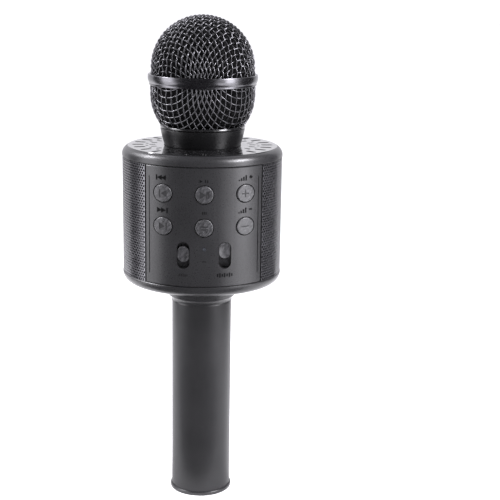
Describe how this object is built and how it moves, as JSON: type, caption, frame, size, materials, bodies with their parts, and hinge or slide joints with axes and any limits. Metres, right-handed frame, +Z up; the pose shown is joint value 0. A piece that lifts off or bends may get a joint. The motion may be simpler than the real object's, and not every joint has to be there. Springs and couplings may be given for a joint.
{
  "type": "karaoke microphone",
  "caption": "Handheld microphone with a wire ball grille, a round speaker drum with keys and slide switches, and a plain tubular handle.",
  "frame": {"origin": "centre of the flat end of the handle, on the surface that the microphone stands on", "axes": "+Z up the handle to the grille, -Y out of the front panel with the keys, +X to the right as seen from the front"},
  "size_m": [0.08, 0.0805, 0.2459],
  "materials": {
    "shell": "matte",
    "handle_coat": "satin",
    "key_plastic": "satin",
    "gloss_black": "gloss",
    "wire_enamel": "satin",
    "dark_chrome": "polished",
    "speaker_sheet": "satin",
    "dust_cloth": "matte",
    "foam": "matte",
    "black_rubber": "matte",
    "frame_plastic": "matte",
    "basket_steel": "satin",
    "magnet_iron": "satin",
    "cone_paper": "matte",
    "board_green": "satin",
    "switch_plastic": "satin",
    "plated_steel": "satin",
    "light_lens": "gloss",
    "capsule_can": "satin",
    "cell_wrap": "gloss",
    "sleeve_foam": "matte"
  },
  "bodies": {
    "housing": {"audio_jack": "switch_plastic", "battery_cell": "cell_wrap", "battery_sleeve": "sleeve_foam", "battery_tabs": "plated_steel", "bottom_cover": "shell", "bottom_screws": "plated_steel", "capsule_holder": "black_rubber", "card_socket": "plated_steel", "charging_socket": "plated_steel", "end_cap": "shell", "front_panel": "shell", "handle_collar": "shell", "handle_screws": "plated_steel", "handle_tube": "handle_coat", "indicator_light": "light_lens", "inner_frame": "frame_plastic", "key_board": "board_green", "key_board_screws": "plated_steel", "key_switches": "switch_plastic", "left_dust_cloth": "dust_cloth", "left_speaker_basket": "basket_steel", "left_speaker_cone": "cone_paper", "left_speaker_grille": "speaker_sheet", "left_speaker_magnet": "magnet_iron", "left_speaker_surround": "black_rubber", "main_board": "board_green", "mic_capsule": "capsule_can", "neck": "gloss_black", "rear_panel": "shell", "right_dust_cloth": "dust_cloth", "right_speaker_basket": "basket_steel", "right_speaker_cone": "cone_paper", "right_speaker_grille": "speaker_sheet", "right_speaker_magnet": "magnet_iron", "right_speaker_surround": "black_rubber", "slide_switches": "switch_plastic", "top_cover": "shell", "top_disc": "gloss_black", "top_screws": "plated_steel", "usb_socket": "plated_steel"},
    "grille": {"grille_dome": "wire_enamel", "grille_bowl": "wire_enamel", "grille_belt": "dark_chrome", "grille_screw_ring": "gloss_black", "foam_windscreen": "foam"},
    "grille_seal": {"grille_gasket": "black_rubber"},
    "echo_slide": {"echo_slide_knob": "key_plastic"},
    "remix_slide": {"remix_slide_knob": "key_plastic"},
    "previous_key": {"previous_button": "key_plastic", "previous_key_stem": "switch_plastic"},
    "next_key": {"next_button": "key_plastic", "next_key_stem": "switch_plastic"},
    "play_key": {"play_button": "key_plastic", "play_key_stem": "switch_plastic"},
    "mode_key": {"mode_button": "key_plastic", "mode_key_stem": "switch_plastic"},
    "volume_up_key": {"volume_up_button": "key_plastic", "volume_up_key_stem": "switch_plastic"},
    "volume_down_key": {"volume_down_button": "key_plastic", "volume_down_key_stem": "switch_plastic"}
  },
  "joints": [
    {"name": "grille_lift", "type": "slide", "parent": "housing", "child": "grille_seal", "axis": [0, 0, 1], "range_m": [0, 0.00605]},
    {"name": "grille_unscrew", "type": "hinge", "parent": "grille_seal", "child": "grille", "pos_m": [0, 0, 0.1907], "axis": [0, 0, 1], "range_deg": [0, 1080]},
    {"name": "previous_press", "type": "slide", "parent": "housing", "child": "previous_key", "axis": [0, 1, 0], "range_m": [0, 0.0006], "stiffness_N_per_m": 600, "springref_m": -0.0002},
    {"name": "next_press", "type": "slide", "parent": "housing", "child": "next_key", "axis": [0, 1, 0], "range_m": [0, 0.0006], "stiffness_N_per_m": 600, "springref_m": -0.0002},
    {"name": "play_press", "type": "slide", "parent": "housing", "child": "play_key", "axis": [0, 1, 0], "range_m": [0, 0.0006], "stiffness_N_per_m": 600, "springref_m": -0.0002},
    {"name": "mode_press", "type": "slide", "parent": "housing", "child": "mode_key", "axis": [0, 1, 0], "range_m": [0, 0.0006], "stiffness_N_per_m": 600, "springref_m": -0.0002},
    {"name": "volume_up_press", "type": "slide", "parent": "housing", "child": "volume_up_key", "axis": [0, 1, 0], "range_m": [0, 0.0006], "stiffness_N_per_m": 600, "springref_m": -0.0002},
    {"name": "volume_down_press", "type": "slide", "parent": "housing", "child": "volume_down_key", "axis": [0, 1, 0], "range_m": [0, 0.0006], "stiffness_N_per_m": 600, "springref_m": -0.0002},
    {"name": "echo_switch", "type": "slide", "parent": "housing", "child": "echo_slide", "axis": [0, 0, 1], "range_m": [-0.003, 0.0018]},
    {"name": "remix_switch", "type": "slide", "parent": "housing", "child": "remix_slide", "axis": [0, 0, 1], "range_m": [-0.0048, 0]}
  ],
  "couplings": [
    {"joint": "grille_lift", "follows": "grille_unscrew", "m_per_rad": 0.00031831}
  ]
}
